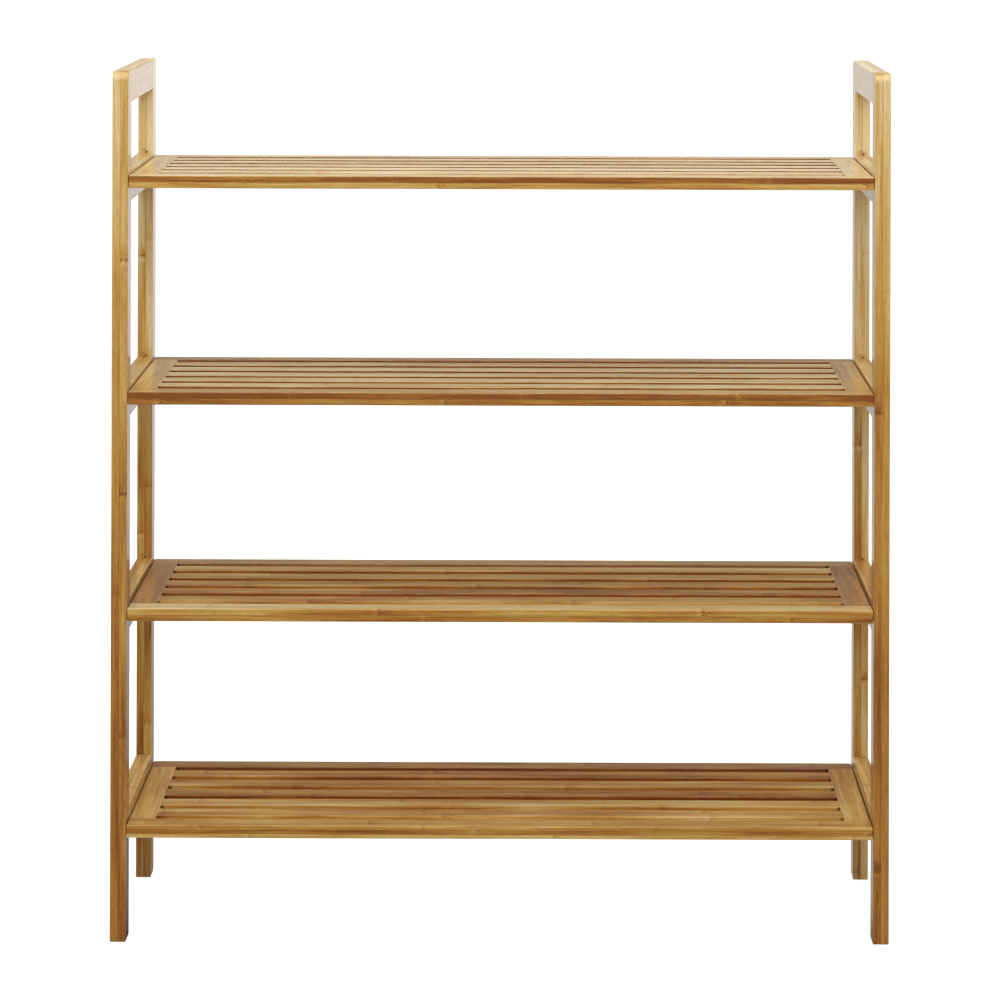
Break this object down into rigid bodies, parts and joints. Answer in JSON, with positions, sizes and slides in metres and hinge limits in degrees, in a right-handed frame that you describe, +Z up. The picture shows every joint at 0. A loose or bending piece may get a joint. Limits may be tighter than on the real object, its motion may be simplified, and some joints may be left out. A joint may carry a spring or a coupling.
{
  "type": "tiered shoe rack",
  "caption": "Free-standing open shoe rack in laminated bamboo: flat slatted tiers held between two ladder-shaped side frames of posts and rails.",
  "frame": {"origin": "on the floor, at the middle of the footprint", "axes": "+Z up, -Y towards the front of the rack, +X to the right seen from the front"},
  "size_m": [0.734, 0.27, 0.82],
  "materials": {
    "frame_bamboo": "clear satin lacquer over edge-laminated bamboo",
    "shelf_bamboo": "clear satin lacquer over edge-laminated bamboo",
    "dowel_wood": "plain turned wood",
    "screw_steel": "zinc-plated steel"
  },
  "bodies": {
    "root": {"left_frame_dowels": "dowel_wood", "left_front_post": "frame_bamboo", "left_rear_post": "frame_bamboo", "left_shelf_rail_1": "frame_bamboo", "left_shelf_rail_2": "frame_bamboo", "left_shelf_rail_3": "frame_bamboo", "left_shelf_rail_4": "frame_bamboo", "left_top_rail": "frame_bamboo", "right_frame_dowels": "dowel_wood", "right_front_post": "frame_bamboo", "right_rear_post": "frame_bamboo", "right_shelf_rail_1": "frame_bamboo", "right_shelf_rail_2": "frame_bamboo", "right_shelf_rail_3": "frame_bamboo", "right_shelf_rail_4": "frame_bamboo", "right_top_rail": "frame_bamboo", "shelf_1_front_rail": "shelf_bamboo", "shelf_1_left_end_board": "shelf_bamboo", "shelf_1_rear_rail": "shelf_bamboo", "shelf_1_right_end_board": "shelf_bamboo", "shelf_1_screws": "screw_steel", "shelf_1_slat_1": "shelf_bamboo", "shelf_1_slat_2": "shelf_bamboo", "shelf_1_slat_3": "shelf_bamboo", "shelf_1_slat_4": "shelf_bamboo", "shelf_1_slat_5": "shelf_bamboo", "shelf_2_front_rail": "shelf_bamboo", "shelf_2_left_end_board": "shelf_bamboo", "shelf_2_rear_rail": "shelf_bamboo", "shelf_2_right_end_board": "shelf_bamboo", "shelf_2_screws": "screw_steel", "shelf_2_slat_1": "shelf_bamboo", "shelf_2_slat_2": "shelf_bamboo", "shelf_2_slat_3": "shelf_bamboo", "shelf_2_slat_4": "shelf_bamboo", "shelf_2_slat_5": "shelf_bamboo", "shelf_3_front_rail": "shelf_bamboo", "shelf_3_left_end_board": "shelf_bamboo", "shelf_3_rear_rail": "shelf_bamboo", "shelf_3_right_end_board": "shelf_bamboo", "shelf_3_screws": "screw_steel", "shelf_3_slat_1": "shelf_bamboo", "shelf_3_slat_2": "shelf_bamboo", "shelf_3_slat_3": "shelf_bamboo", "shelf_3_slat_4": "shelf_bamboo", "shelf_3_slat_5": "shelf_bamboo", "shelf_4_front_rail": "shelf_bamboo", "shelf_4_left_end_board": "shelf_bamboo", "shelf_4_rear_rail": "shelf_bamboo", "shelf_4_right_end_board": "shelf_bamboo", "shelf_4_screws": "screw_steel", "shelf_4_slat_1": "shelf_bamboo", "shelf_4_slat_2": "shelf_bamboo", "shelf_4_slat_3": "shelf_bamboo", "shelf_4_slat_4": "shelf_bamboo", "shelf_4_slat_5": "shelf_bamboo"}
  },
  "joints": []
}
